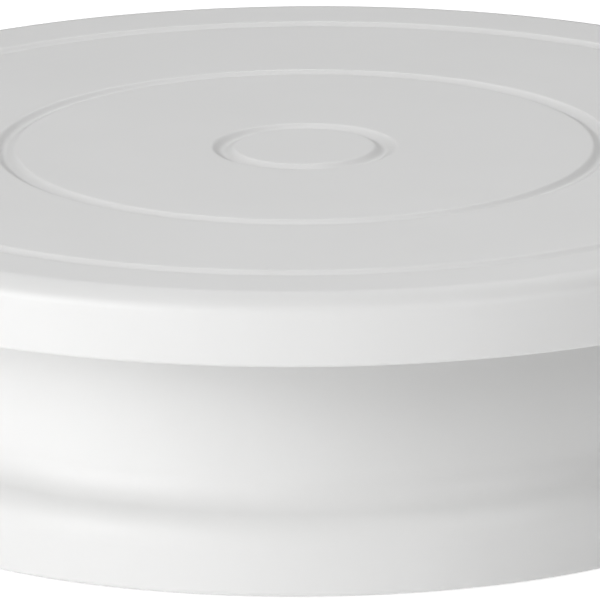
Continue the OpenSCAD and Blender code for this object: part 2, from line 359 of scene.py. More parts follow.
def hole_wall(outline: Array, middle: float, columns: int = 16) -> Array:
    """The wall of a hole that meets sector_with_hole's: an outline turned about the hole's own axis.

    Args:
        outline: (radius, z) points, running so that the solid lies to the right of the way they go.
        middle: radius of the hole's centre, which lies at angle 0.
        columns: chords along each side of the sector.

    Returns:
        The grid.
    """
    return turned(outline, spread(4 * columns, -45)) + [middle, 0, 0]


def ring_columns(count: int, columns: int, start: float = 0.0) -> Array:
    """Angles that meet the borders of count sectors with this many columns each, in radians."""
    pitch = FULL_TURN / count
    return math.radians(start) - pitch / 2 + np.arange(count * columns) * pitch / columns


@dataclass(frozen=True)
class Ribs:
    """Straight upright ribs that stand out from the axis under a round ceiling.

    A rib keeps one width, so its lines run parallel to its middle line and the grid's columns bend
    to follow them: a line at distance y from the middle, at radius r, is at angle asin(y / r).
    """

    ceiling: float
    depth: float
    count: int = 12
    start: float = 15.0
    width: float = 2.0
    root: float = 1.0
    free_columns: int = 8
    narrowest: float = 12.0
    squeeze: float = 50.0

    def lines(self) -> tuple[Array, Array]:
        """Distance from the rib's middle and drop below the ceiling, for each line across the rib.

        Returns:
            Both, as arrays of the same length.
        """
        half = self.width / 2
        away = half + np.array([-0.2, -0.06, 0.0, 0.08, 0.35 * self.root, self.root])
        drop = np.array([self.depth, self.depth - 0.06, self.depth - 0.25,
                         0.5 * self.root, 0.12 * self.root, 0.0])
        return np.concatenate([-away[::-1], [0.0], away]), np.concatenate([drop[::-1], [self.depth], drop])

    def surface(self, outline: Array, ribbed: Array) -> Array:
        """A turned outline whose ribbed rows hang down along the ribs.

        A ribbed point above its rib's line z0 goes to z0 + (z - z0) / squeeze, which keeps rows apart.

        Args:
            outline: (r, z) points.
            ribbed: for each point, whether ribs cross it.

        Returns:
            The grid, shaped (rows, columns, 3).
        """
        across, drop = self.lines()
        r, z = outline[:, :1], outline[:, 1:]
        rib = np.arcsin(across / np.maximum(r, self.narrowest))
        pitch = FULL_TURN / self.count
        steps = np.arange(1, 2 * self.free_columns) / (2 * self.free_columns)
        free = rib[:, -1:] + (pitch - 2 * rib[:, -1:]) * steps
        sector = np.concatenate([rib, free], axis=1)
        angles = (sector[:, None, :] + spread(self.count, self.start)[None, :, None]).reshape(len(r), -1)
        drops = np.tile(np.concatenate([drop, np.zeros(len(steps))]), self.count)
        line = self.ceiling - drops[None, :]
        hung = np.where(z > line, line + (z - line) / self.squeeze, z)
        height = np.where(ribbed[:, None] & (drops > 0)[None, :], hung, z)
        return swept(r, angles, height)


# ---------------------------------------------------------------- materials


class Nodes:
    """A short way to place and join shader nodes."""

    def __init__(self, tree: bpy.types.NodeTree) -> None:
        """Takes the tree that the nodes go into."""
        self.tree = tree

    def feed(self, node: bpy.types.Node, inputs: dict) -> None:
        """Sets or joins a node's inputs, given as values or sockets by name or number.

        Args:
            node: the node.
            inputs: values or sockets, by the input's name or number.
        """
        for key, value in inputs.items():
            if isinstance(value, bpy.types.NodeSocket):
                self.tree.links.new(value, node.inputs[key])
            else:
                node.inputs[key].default_value = value

    def add(self, kind: str, inputs: dict | None = None, **settings: object) -> bpy.types.Node:
        """Places a node.

        Args:
            kind: the node's type, without its ShaderNode prefix.
            inputs: values or sockets for its inputs, by name or number.
            settings: properties of the node.

        Returns:
            The node.
        """
        node = self.tree.nodes.new("ShaderNode" + kind)
        for name, value in settings.items():
            setattr(node, name, value)
        self.feed(node, inputs or {})
        return node

    def maths(self, operation: str, *values: object) -> bpy.types.NodeSocket:
        """The result of a Math node on up to three numbers or sockets."""
        return self.add("Math", dict(enumerate(values)), operation=operation).outputs[0]

    def ramp(self, value: object, low: float, high: float,
             to_low: float = 0.0, to_high: float = 1.0) -> bpy.types.NodeSocket:
        """A value carried from the range low..high to the range to_low..to_high, and kept in it."""
        ends = {"From Min": low, "From Max": high, "To Min": to_low, "To Max": to_high}
        return self.add("MapRange", {"Value": value, **ends}).outputs[0]

    def blend(self, amount: object, first: Colour, second: Colour) -> bpy.types.NodeSocket:
        """The colour that lies amount of the way from first to second."""
        return self.add("Mix", {0: amount, 6: (*first, 1.0), 7: (*second, 1.0)}, data_type="RGBA").outputs[2]

    def noise(self, place: object, scale: object, detail: float, **more: float) -> bpy.types.NodeSocket:
        """Soft noise from 0 to 1 at a place, with its scale in cells to the millimetre."""
        return self.add("TexNoise", {"Vector": place, "Scale": scale, "Detail": detail, **more}).outputs[0]

    def bump(self, height: object, strength: float, depth_mm: float) -> bpy.types.NodeSocket:
        """A surface normal pushed about by a height that runs over a depth in millimetres."""
        return self.add("Bump", {"Height": height, "Strength": strength,
                                 "Distance": depth_mm * MM}).outputs[0]


class Group(Nodes):
    """A shader node group with number inputs and outputs."""

    def __init__(self, name: str, **inputs: float) -> None:
        """Starts the group, with each input's name and the value that it starts with.

        Args:
            name: the group's name.
            inputs: each input's name, and the value that it starts with.
        """
        super().__init__(bpy.data.node_groups.new(name, "ShaderNodeTree"))
        for key, value in inputs.items():
            self._socket(key, "INPUT").default_value = value
        self.entry = self.tree.nodes.new("NodeGroupInput").outputs
        place = self.add("TexCoord").outputs["Object"]
        self.place = self.add("VectorMath", {0: place, "Scale": 1 / MM}, operation="SCALE").outputs[0]

    def _socket(self, name: str, way: str) -> bpy.types.NodeTreeInterfaceSocket:
        """A new number socket of the group, with way INPUT or OUTPUT."""
        return self.tree.interface.new_socket(name, in_out=way, socket_type="NodeSocketFloat")

    def from_axis(self) -> tuple[bpy.types.NodeSocket, bpy.types.NodeSocket, bpy.types.NodeSocket, object]:
        """The place's x, y and z in millimetres, then its radius from the Z axis, sqrt(x^2 + y^2).

        Returns:
            Four sockets: x, y, z and the radius.
        """
        x, y, z = self.add("SeparateXYZ", {0: self.place}).outputs
        squares = self.maths("ADD", self.maths("MULTIPLY", x, x), self.maths("MULTIPLY", y, y))
        return x, y, z, self.maths("SQRT", squares)

    def finish(self, **outputs: object) -> bpy.types.NodeTree:
        """Joins the group's outputs, given by name, and returns its tree.

        Args:
            outputs: what goes into each output, by its name.

        Returns:
            The group's tree.
        """
        for key in outputs:
            self._socket(key, "OUTPUT")
        self.feed(self.tree.nodes.new("NodeGroupOutput"), outputs)
        return self.tree


class Effects:
    """The shader node groups that several finishes share, each built once."""

    def __init__(self) -> None:
        """Builds every group."""
        self.grain = self._grain()
        self.turning = self._turning()
        self.scuffs = self._scuffs()
        self.cloud = self._cloud()

    @staticmethod
    def _grain() -> bpy.types.NodeTree:
        """The fine spark-eroded grain of a mould, with a slow waviness under it.

        Returns:
            The group.
        """
        group = Group("mould_grain", Size=0.5, Waves=0.25)
        fine = group.noise(group.place, group.maths("DIVIDE", 1.0, group.entry["Size"]), 2.0, Roughness=0.6)
        waves = group.maths("MULTIPLY", group.noise(group.place, 0.06, 1.0), group.entry["Waves"])
        return group.finish(Height=group.maths("ADD", fine, waves), Mask=group.ramp(fine, 0.35, 0.65))

    @staticmethod
    def _turning() -> bpy.types.NodeTree:
        """The rings that a lathe or a press leaves round the Z axis.

        Returns:
            The group.
        """
        group = Group("turning_marks", Pitch=0.3)
        _, _, z, radius = group.from_axis()
        line = group.maths("DIVIDE", group.maths("ADD", radius, z), group.entry["Pitch"])
        rings = group.add("TexNoise", {"W": line, "Scale": 1.0, "Detail": 2.0}, noise_dimensions="1D")
        return group.finish(Height=rings.outputs[0])

    @staticmethod
    def _scuffs() -> bpy.types.NodeTree:
        """Faint scuffs that run round the Z axis, as a board slid on a turning plate leaves them.

        Returns:
            The group.
        """
        group = Group("round_scuffs", Length=22.0, Width=0.35)
        x, y, _, radius = group.from_axis()
        angle = group.maths("ARCTAN2", y, x)
        run = group.maths("MULTIPLY", group.maths("SINE", angle), 70.0)
        spot = group.add("CombineXYZ", {0: group.maths("DIVIDE", radius, group.entry["Width"]),
                                        1: group.maths("DIVIDE", run, group.entry["Length"]),
                                        2: group.maths("COSINE", angle)}).outputs[0]
        lines = group.ramp(group.noise(spot, 1.0, 1.0), 0.64, 0.74)
        where = group.ramp(group.noise(group.place, 0.022, 2.0), 0.5, 0.66)
        return group.finish(Mask=group.maths("MULTIPLY", lines, where))

    @staticmethod
    def _cloud() -> bpy.types.NodeTree:
        """Broad soft patches, for colour that isn't quite even.

        Returns:
            The group.
        """
        group = Group("soft_patches", Size=40.0)
        noise = group.noise(group.place, group.maths("DIVIDE", 1.0, group.entry["Size"]), 3.0, Roughness=0.5)
        return group.finish(Mask=group.ramp(noise, 0.3, 0.7))


@dataclass(frozen=True)
class Finish:
    """What every finish has: a name, two colours that its soft patches run between, and a gloss."""

    metallic: ClassVar[float] = 0.0
    name: str
    colour: Colour
    patch_colour: Colour
    roughness: float
    patch_mm: float = 40.0

    def sockets(self, nodes: Nodes, effects: Effects, patches: object) -> dict[str, object]:
        """What goes into the shader.

        Args:
            nodes: the material's nodes.
            effects: the shared node groups.
            patches: the mask of the soft patches.

        Returns:
            The values and sockets, by the name of the shader's input.
        """
        raise NotImplementedError

    def material(self, effects: Effects) -> bpy.types.Material:
        """Builds the material.

        Args:
            effects: the shared node groups.

        Returns:
            The material.
        """
        material = bpy.data.materials.new(self.name)
        material.use_nodes = True
        nodes = Nodes(material.node_tree)
        shader = material.node_tree.nodes["Principled BSDF"]
        shader.inputs["Metallic"].default_value = self.metallic
        patches = nodes.add("Group", {"Size": self.patch_mm}, node_tree=effects.cloud).outputs["Mask"]
        nodes.feed(shader, self.sockets(nodes, effects, patches))
        return material


@dataclass(frozen=True)
class MouldedPlastic(Finish):
    """A moulded plastic: fine grain, slow waviness, soft patches of tone and faint round scuffs."""

    grain_mm: float = 0.5
    grain_depth: float = 0.03
    scuff_roughness: float = 0.12

    def sockets(self, nodes: Nodes, effects: Effects, patches: object) -> dict[str, object]:
        """What goes into the shader.

        Args:
            nodes: the material's nodes.
            effects: the shared node groups.
            patches: the mask of the soft patches.

        Returns:
            The values and sockets, by the name of the shader's input.
        """
        grain = nodes.add("Group", {"Size": self.grain_mm}, node_tree=effects.grain).outputs
        scuffs = nodes.add("Group", node_tree=effects.scuffs).outputs["Mask"]
        uneven = nodes.ramp(grain["Mask"], 0.0, 1.0, self.roughness - 0.02, self.roughness + 0.03)
        worn = nodes.maths("MULTIPLY", scuffs, self.scuff_roughness)
        bump = nodes.bump(grain["Height"], 0.35, self.grain_depth)
        return {"Base Color": nodes.blend(patches, self.colour, self.patch_colour),
                "Roughness": nodes.maths("SUBTRACT", uneven, worn), "Normal": bump}


@dataclass(frozen=True)
class WorkedMetal(Finish):
    """A bare or plated metal with the rings of its turning or pressing."""

    metallic: ClassVar[float] = 1.0
    ring_mm: float = 0.3
    ring_depth: float = 0.012
    grain_mm: float = 0.25

    def sockets(self, nodes: Nodes, effects: Effects, patches: object) -> dict[str, object]:
        """What goes into the shader.

        Args:
            nodes: the material's nodes.
            effects: the shared node groups.
            patches: the mask of the soft patches.

        Returns:
            The values and sockets, by the name of the shader's input.
        """
        rings = nodes.add("Group", {"Pitch": self.ring_mm}, node_tree=effects.turning).outputs["Height"]
        grain = nodes.add("Group", {"Size": self.grain_mm}, node_tree=effects.grain).outputs["Mask"]
        bump = nodes.bump(rings, 0.4, self.ring_depth)
        return {"Base Color": nodes.blend(patches, self.colour, self.patch_colour),
                "Roughness": nodes.ramp(grain, 0.0, 1.0, self.roughness - 0.05, self.roughness + 0.06),
                "Normal": bump}


@dataclass(frozen=True)
class SoftRubber(Finish):
    """A matt moulded rubber with a dusty bloom in its soft patches."""

    grain_mm: float = 0.35
    grain_depth: float = 0.05

    def sockets(self, nodes: Nodes, effects: Effects, patches: object) -> dict[str, object]:
        """What goes into the shader.

        Args:
            nodes: the material's nodes.
            effects: the shared node groups.
            patches: the mask of the soft patches.

        Returns:
            The values and sockets, by the name of the shader's input.
        """
        grain = nodes.add("Group", {"Size": self.grain_mm}, node_tree=effects.grain).outputs
        bloom = nodes.maths("MULTIPLY", patches, nodes.ramp(grain["Mask"], 0.0, 1.0, 0.5, 1.0))
        bump = nodes.bump(grain["Height"], 0.5, self.grain_depth)
        return {"Base Color": nodes.blend(bloom, self.colour, self.patch_colour),
                "Roughness": nodes.ramp(bloom, 0.0, 1.0, self.roughness - 0.1, self.roughness),
                "Normal": bump}


FINISHES: dict[Slot, Finish] = {
    Slot.WHITE_PLASTIC: MouldedPlastic("white_moulded_plastic",
                                       (0.800, 0.800, 0.796), (0.785, 0.785, 0.780), 0.5),
    Slot.NYLON: MouldedPlastic("natural_nylon", (0.78, 0.75, 0.66), (0.74, 0.71, 0.61), 0.5, 12.0, 0.4, 0.04),
    Slot.ZINC_STEEL: WorkedMetal("pressed_zinc_steel",
                                 (0.62, 0.63, 0.66), (0.55, 0.56, 0.58), 0.36, 9.0, 0.5),
    Slot.SCREW_STEEL: WorkedMetal("screw_steel", (0.66, 0.66, 0.67), (0.58, 0.58, 0.60), 0.3, 3.0, 0.2),
    Slot.GROUND_STEEL: WorkedMetal("ground_steel",
                                   (0.58, 0.59, 0.60), (0.52, 0.53, 0.54), 0.22, 6.0, 0.12, 0.006),
    Slot.SPRING_STEEL: WorkedMetal("blackened_spring_steel",
                                   (0.07, 0.07, 0.08), (0.11, 0.10, 0.10), 0.42, 3.0),
    Slot.BALL_STEEL: WorkedMetal("polished_ball_steel",
                                 (0.72, 0.72, 0.73), (0.66, 0.66, 0.67), 0.1, 4.0, 0.2, 0.001),
    Slot.BRASS: WorkedMetal("turned_brass", (0.74, 0.55, 0.24), (0.66, 0.47, 0.19), 0.3, 5.0, 0.2),
    Slot.RUBBER: SoftRubber("grey_rubber", (0.16, 0.16, 0.16), (0.24, 0.24, 0.23), 0.75, 6.0),
}


class Palette:
    """The finished materials, one for each of the record's slots."""

    def __init__(self) -> None:
        """Builds the shared effects and every material."""
        effects = Effects()
        self.materials = {slot: finish.material(effects) for slot, finish in FINISHES.items()}

    def dress(self, thing: bpy.types.Object, slot: Slot) -> None:
        """Gives an object one of the materials, in place of any it has.

        Args:
            thing: the object.
            slot: the slot whose finish it takes.
        """
        thing.data.materials.clear()
        thing.data.materials.append(self.materials[slot])


# ---------------------------------------------------------------- pieces


@dataclass
class Workshop:
    """What the sub-assemblies share: the frame and the materials."""

    frame: dict
    palette: Palette

    def fit(self, thing: bpy.types.Object, body: str, slot: Slot, *nodes: str) -> None:
        """Dresses a new piece, sets it on its body and lets it stand for its CAD nodes.

        Args:
            thing: the piece.
            body: the body that it rides on.
            slot: the slot whose finish it takes.
            nodes: the CAD nodes that it replaces.
        """
        self.palette.dress(thing, slot)
        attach(thing, body)
        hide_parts(*nodes)
        LOG.info("%s: %d faces", thing.name, len(thing.data.polygons))

    def dress_the_rest(self) -> None:
        """Gives every CAD node that is still shown the finish of its record slot."""
        slots = {row["node"]: Slot(row["material_slot"]) for row in self.frame["record"]["subparts"]}
        for name, thing in self.frame["nodes"].items():
            self.palette.dress(thing, slots[name])


def extent(node: str) -> tuple[float, float, float]:
    """A CAD node's largest reach from the Z axis along X or Y, and its lowest and highest points.

    Args:
        node: the node's name.

    Returns:
        The reach, the lowest and the highest, in millimetres.
    """
    low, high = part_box(node)
    return max(high.x, high.y, -low.x, -low.y) / MM, low.z / MM, high.z / MM


@dataclass(frozen=True)
class Track:
    """The sizes of the ball track that the plate, the base and the races share, in millimetres."""

    radius: float = 75.0
    groove_r: float = 4.15
    groove_depth: float = 1.4
    sheet: float = 1.2
    inner: float = 60.5
    outer: float = 82.5
    screws_at: float = 65.5
    channel: float = 4.41
    channel_depth: float = 1.7


@dataclass(frozen=True)
class PanScrew:
    """A pan-head screw with a cross recess and a helical thread, the same wherever it is used."""

    core: float = 1.6
    root: float = 1.25
    pitch: float = 1.2
    head: float = 3.3
    head_height: float = 1.9
    recess_width: float = 0.42
    recess_length: float = 1.8
    recess_depth: float = 1.15
    columns: int = 64
    rows_per_turn: int = 9
    runout: float = 0.6
    point: float = 1.6

    def skin(self, length: float) -> Skin:
        """Draws the screw with its core hanging from z = 0 and its head above.

        The recess goes down where both min(|x|, |y|) is under its half width and max(|x|, |y|)
        under its half length. At height z and angle a the thread stands out by the tent
        1 - 1.7 |2u - 1|, where it is above 0, with u the fraction of z / pitch + a / turn.

        Args:
            length: from under the head to the tip.

        Returns:
            The screw's surface.
        """
        angles = spread(self.columns)
        dome = rounded([(0, self.head_height, 0), (self.head * 0.62, self.head_height, 1.6),
                        (self.head, self.head_height * 0.55, 0.7), (self.head, 0.12, 0.1),
                        (self.head - 0.1, 0, 0), (self.core, 0, 0)], steps=6)
        head = turned(spaced(dome, 0.12), angles)
        x, y = np.abs(head[..., 0]), np.abs(head[..., 1])
        across = smooth_step((self.recess_width - np.minimum(x, y)) / 0.14)
        along = smooth_step((self.recess_length - np.maximum(x, y)) / 0.5)
        top = head[..., 2] > self.head_height * 0.6
        head[..., 2] -= np.where(top, self.recess_depth * across * along, 0.0)
        z = -np.arange(1, int(length / self.pitch * self.rows_per_turn)) * self.pitch / self.rows_per_turn
        turn = (z[:, None] / self.pitch + angles[None, :] / FULL_TURN) % 1.0
        tent = np.clip(1 - 1.7 * np.abs(2 * turn - 1), 0, 1) * smooth_step(-z / self.runout)[:, None]
        taper = np.clip((z + length) / self.point, 0.05, 1)[:, None]
        r = (self.root + (self.core - self.root) * tent) * taper
        thread = swept(r, angles, z[:, None])
        tip = np.zeros((1, self.columns, 3))
        tip[..., 2] = -length
        out = Skin()
        out.grid(np.concatenate([head, thread, tip]))
        return out


@dataclass
class Plate:
    """The turning plate: guide grooves on top, a rounded edge, a deep rim, and ribs underneath."""

    shop: Workshop
    track: Track = Track()
    skin: float = 3.2
    rim_wall: float = 3.0
    lip: float = 1.0
    edge_run: float = 8.1
    edge_drop: float = 4.6
    edge_radius: float = 3.0
    grooves: tuple[tuple[float, float, float], ...] = ((20.8, 6.4, 1.2), (76.6, 6.0, 1.1), (127.0, 6.0, 1.1))
    seat: float = 2.4
    corner: float = 6.0
    rib_depth: float = 6.0
    ring_rib: float = 118.5
    hub: float = 12.02
    bore: float = 7.02
    bore_depth: float = 8.2

    def edge(self, outer: float, top: float) -> Array:
        """The rounded edge: a wide arc, level where the flat ends, that runs into a tight upright one.

        The arcs' centres lie (a^2 + b^2) / 2b apart, a and b being the edge's run and drop less
        the tight radius.

        Args:
            outer: the rim's radius.
            top: the height of the plate's top.

        Returns:
            The outline from the flat to the rim.
        """
        run, drop = self.edge_run - self.edge_radius, self.edge_drop - self.edge_radius
        apart = (run**2 + drop**2) / (2 * drop)
        turn = math.degrees(math.asin(run / apart))
        wide = apart + self.edge_radius
        first = arc((outer - self.edge_run, top - wide), wide, 90, 90 - turn, 20)
        second = arc((outer - self.edge_radius, top - self.edge_drop), self.edge_radius, 90 - turn, 0, 12)
        return np.vstack([first, second[1:]])

    def groove(self, middle: float, width: float, depth: float, top: float) -> Array:
        """A soft round-bottomed groove, d / 2 * (1 + cos(2 pi x / w)) deep at distance x from its middle.

        Args:
            middle: the groove's radius round the plate.
            width: its whole width, w.
            depth: its depth, d.
            top: the height of the plate's top.

        Returns:
            The outline from its inner lip to its outer lip.
        """
        x = np.linspace(-0.5, 0.5, 23)
        return np.column_stack([middle + width * x, top - depth / 2 * (1 + np.cos(FULL_TURN * x))])

    def above(self, outer: float, bottom: float, top: float) -> Array:
        """The outline from the middle of the top to the rim's lower lip.

        Args:
            outer: the rim's radius.
            bottom: the rim's lowest height.
            top: the height of the plate's top.

        Returns:
            The outline.
        """
        parts = [np.array([[0.0, top], [8.0, top]])]
        parts += [self.groove(*groove, top) for groove in self.grooves]
        parts += [self.edge(outer, top), arc((outer - self.lip, bottom + self.lip), self.lip, 0, -90, 6)]
        return spaced(np.vstack(parts), 9.0)

    def below(self, outer: float, bottom: float, top: float) -> tuple[Array, Array]:
        """The outline from the rim's lower lip, under the plate, to the middle of the hub's bore.

        Args:
            outer: the rim's radius.
            bottom: the rim's lowest height.
            top: the height of the plate's top.

        Returns:
            The outline, and for each point whether the ribs cross it.
        """
        track, boss = self.track, extent("hub_insert")[1]
        inside, ceiling = outer - self.rim_wall, top - self.skin
        low, seat_z = ceiling - self.rib_depth, ceiling - self.seat
        rib_in, rib_out = self.ring_rib, self.ring_rib + 2
        seat_in, seat_out = track.inner - 2, track.outer + 2
        way_in, way_out = track.radius - track.channel, track.radius + track.channel
        channel_z, bore_z = seat_z + track.channel_depth, boss + self.bore_depth
        outline = spaced(rounded([
            (outer - self.lip, bottom, 0), (inside, bottom, 0.5), (inside, ceiling, self.corner),
            (rib_out, ceiling, 0.8), (rib_out, low, 0.3), (rib_in, low, 0.3), (rib_in, ceiling, 0.8),
            (seat_out, ceiling, 0.6), (seat_out, seat_z, 0.3), (seat_out - 1, seat_z, 0),
            (seat_out - 1.02, seat_z, 0),
            (way_out, seat_z, 0), (way_out, channel_z, 0.4), (way_in, channel_z, 0.4), (way_in, seat_z, 0),
            (seat_in + 1.02, seat_z, 0), (seat_in + 1, seat_z, 0), (seat_in, seat_z, 0.3),
            (seat_in, ceiling, 0.6),
            (self.hub, ceiling, 0.8), (self.hub, boss, 0.4), (self.bore, boss, 0.2), (self.bore, bore_z, 0.2),
            (0, bore_z, 0)], steps=5), 10.0)
        r = outline[:, 0]
        return outline, (r > self.hub - 0.01) & ((r < seat_in + 1.01) | (r > seat_out - 1.01))

    def build(self) -> None:
        """Builds the plate as one closed surface."""
        outer, bottom, top = extent("top_plate")
        above = self.above(outer, bottom, top)
        below, ribbed = self.below(outer, bottom, top)
        outline = np.vstack([above, below[1:]])
        crossed = np.concatenate([np.zeros(len(above), bool), ribbed[1:]])
        skin = Skin()
        skin.grid(Ribs(top - self.skin, self.rib_depth).surface(outline, crossed))
        self.shop.fit(skin.piece("plate"), "turntable", Slot.WHITE_PLASTIC, "top_plate")


@dataclass
class Bearing:
    """The two races with their screws, the cage and the balls."""

    shop: Workshop
    track: Track = Track()
    screw: PanScrew = PanScrew()
    ball: float = 4.0
    half_gap: float = 2.62
    pocket: float = 4.15
    count: int = 12

    def race(self) -> Array:
        """The closed outline of a pressed race whose track is open upwards, with the balls at z = 0.

        Returns:
            The outline.
        """
        track, low = self.track, self.half_gap + self.track.sheet
        centre = (track.radius, track.groove_r - track.groove_depth - self.half_gap)
        back_r = track.groove_r + track.sheet
        mouth = math.degrees(math.acos((track.groove_r - track.groove_depth) / track.groove_r))
        back = math.degrees(math.acos((track.groove_r - track.groove_depth + track.sheet) / back_r))
        rim_in = rounded([(track.inner + 1, -low, 0), (track.inner, -low, 0.2),
                          (track.inner, -self.half_gap, 0.2),
                          (track.inner + 1, -self.half_gap, 0)])
        rim_out = rounded([(track.outer - 1, -self.half_gap, 0), (track.outer, -self.half_gap, 0.2),
                           (track.outer, -low, 0.2), (track.outer - 1, -low, 0)])
        groove = arc(centre, track.groove_r, 270 - mouth, 270 + mouth, 16)
        under = arc(centre, back_r, 270 + back, 270 - back, 16)
        return np.vstack([rim_in, groove, rim_out, under])

    @staticmethod
    def middle() -> float:
        """The height of the balls' centres, half way up the cage."""
        return sum(extent("ball_cage")[1:]) / 2

    def races(self) -> None:
        """Builds the lower race, and the upper one as its mirror image."""
        middle = self.middle()
        surface = turned(self.race(), spread(192))
        lower, upper = Skin(), Skin()
        lower.grid(surface + [0, 0, middle], wrap_rows=True)
        upper.grid(surface * [1, 1, -1] + [0, 0, middle], wrap_rows=True, inside_out=True)
        self.shop.fit(lower.piece("race_below"), "base", Slot.ZINC_STEEL, "lower_race")
        self.shop.fit(upper.piece("race_above"), "turntable", Slot.ZINC_STEEL, "upper_race")
        for name, node, body, length, start, side in (
                ("race_screws_below", "lower_race_screws", "base", 8.0, 0, -1),
                ("race_screws_above", "upper_race_screws", "turntable", 5.0, 30, 1)):
            skin = Skin()
            skin.copy_round(self.screw.skin(length), 6, self.track.screws_at, start,
                            middle + side * self.half_gap,
                            turned_over=side > 0)
            self.shop.fit(skin.piece(name), body, Slot.SCREW_STEEL, node)

    def cage(self) -> None:
        """Builds the cage: a flat ring with a round pocket for each ball and softened edges."""
        outer, low, high = extent("ball_cage")
        inner, soft, count = 2 * self.track.radius - outer, 0.3, self.count
        angles = ring_columns(count, 16)
        skin, sector = Skin(), Skin()
        wall = rounded([(outer - soft, high, 0), (outer, high, soft), (outer, low, soft),
                        (outer - soft, low, 0)])
        skin.grid(turned(wall, angles))
        skin.grid(turned(np.column_stack([inner + outer - wall[:, 0], low + high - wall[:, 1]]), angles))
        edge = rounded([(self.pocket + soft, low, 0), (self.pocket, low, soft), (self.pocket, high, soft),
                        (self.pocket + soft, high, 0)])
        half = math.pi / count
        for z, down in ((high, False), (low, True)):
            flat = sector_with_hole(inner + soft, outer - soft, half,
                                    self.track.radius, self.pocket + soft, z)
            sector.grid(flat, inside_out=down)
        sector.grid(hole_wall(edge, self.track.radius))
        skin.copy_round(sector, count, 0.0)
        self.shop.fit(skin.piece("cage"), "cage", Slot.NYLON, "ball_cage")

    def balls(self) -> None:
        """Builds the balls, each on its own body."""
        middle = self.middle()
        sphere = Skin()
        sphere.lathe(arc((0, 0), self.ball, 90, -90, 24), 36)
        for i, angle in enumerate(spread(self.count), start=1):
            skin = Skin()
            skin.copy_round(sphere, 1, self.track.radius, math.degrees(angle), middle)
            ball = skin.piece(f"ball_{i:02d}_bright")
            self.shop.fit(ball, f"ball_{i:02d}", Slot.BALL_STEEL, f"bearing_ball_{i:02d}")

    def build(self) -> None:
        """Builds every piece of the bearing."""
        self.races()
        self.cage()
        self.balls()


@dataclass
class Spindle:
    """The spindle that hangs from the plate, with its brass insert, bush, washer and circlip."""

    shop: Workshop
    radius: float = 5.0
    thread: float = 4.0
    thread_pitch: float = 1.25
    groove: float = 4.3
    clip: float = 1.2
    slot: float = 0.6
    slot_depth: float = 1.2
    mouth: float = 1.75

    def shaft(self) -> None:
        """Builds the spindle: threaded above, a circlip groove and a screwdriver slot below."""
        _, bottom, top = extent("spindle")
        clip_low, shoulder = extent("spindle_circlip")[1], extent("hub_insert")[1]
        angles = spread(64)
        z = np.arange(top - 0.8, shoulder, -self.thread_pitch / 10)
        turn = (z[:, None] / self.thread_pitch + angles[None, :] / FULL_TURN) % 1.0
        tent = 1 - np.abs(2 * turn - 1)
        r = self.thread - 0.55 * (1 - tent)
        thread = swept(r, angles, z[:, None])
        head = turned(np.array([[0, top], [self.thread - 0.9, top]]), angles)
        body = turned(spaced(rounded([
            (self.thread - 0.5, shoulder, 0), (self.radius, shoulder, 0.4),
            (self.radius, clip_low + self.clip, 0.1),
            (self.groove, clip_low + self.clip, 0.1), (self.groove, clip_low, 0.1),
            (self.radius, clip_low, 0.1),
            (self.radius, bottom, 0.7), (0, bottom, 0)]), 0.35), angles)
        near_end = body[..., 2] < bottom + 0.3
        cut = smooth_step((self.slot + 0.1 - np.abs(body[..., 1])) / 0.2) * self.slot_depth
        body[..., 2] += np.where(near_end, cut, 0.0)
        skin = Skin()
        skin.grid(np.concatenate([head, thread, body]))
        self.shop.fit(skin.piece("spindle_shaft"), "turntable", Slot.GROUND_STEEL, "spindle")

    def insert(self) -> None:
        """Builds the brass insert, whose outside has two bands of knurling."""
        outer, low, high = extent("hub_insert")
        inner, count = self.thread + 0.02, 60
        outline = spaced(ring_section(inner, outer, low, high, 0.2, 0.3, 0.3, 0.2), 0.5)
        closed = np.vstack([outline, spaced(np.vstack([outline[-1:], outline[:1]]), 0.5)[1:-1]])
        grid = turned(closed, spread(count * 6))
        rise = (closed[:, 1] - low) / (high - low)
        band = sum(smooth_step((0.2 - np.abs(rise - middle)) / 0.04) for middle in (0.28, 0.74))
        wave = 0.5 - 0.5 * np.cos(spread(count * 6) * count)
        bite = np.where(closed[:, 0] > outer - 0.01, band, 0.0)[:, None] * wave[None, :] * 0.3
        grid[..., :2] *= (1 - bite / outer)[..., None]
        skin = Skin()
        skin.grid(grid, wrap_rows=True)
        self.shop.fit(skin.piece("threaded_insert"), "turntable", Slot.BRASS, "hub_insert")

    def circlip(self) -> None:
        """Builds the circlip: a flat open ring whose ends close in a point at the section's middle."""
        outer, low, high = extent("spindle_circlip")
        section = ring_section(self.groove, outer, low, high, 0.15, 0.15, 0.15, 0.15)
        half = math.asin(self.mouth / self.groove)
        angles = np.linspace(half, FULL_TURN - half, 73)
        ring = turned(section, angles)
        caps = [np.broadcast_to(ring[:, k].mean(axis=0), (len(section), 1, 3)) for k in (0, -1)]
        skin = Skin()
        skin.grid(np.concatenate([caps[0], ring, caps[1]], axis=1), wrap_rows=True, wrap_columns=False)
        self.shop.fit(skin.piece("circlip"), "turntable", Slot.SPRING_STEEL, "spindle_circlip")

    def build(self) -> None:
        """Builds every piece of the spindle."""
        self.shaft()
        self.insert()
        self.circlip()
        inner = self.radius + 0.05
        outer, low, high = extent("spindle_washer")
        washer, bush = Skin(), Skin()
        washer.lathe(ring_section(inner, outer, low, high, 0.15, 0.25, 0.25, 0.15),
                     closed=True)
        self.shop.fit(washer.piece("washer"), "turntable", Slot.ZINC_STEEL, "spindle_washer")
        flange, low, high = extent("pivot_bush")
        step, seat = self.radius + 3.05, high - 1.5
        bush.lathe(rounded([(inner, high, 0.4), (flange, high, 0.4), (flange, seat, 0.1), (step, seat, 0.1),
                            (step, low, 0.3), (inner, low, 0.4)]), closed=True)
        self.shop.fit(bush.piece("flanged_bush"), "base", Slot.NYLON, "pivot_bush")


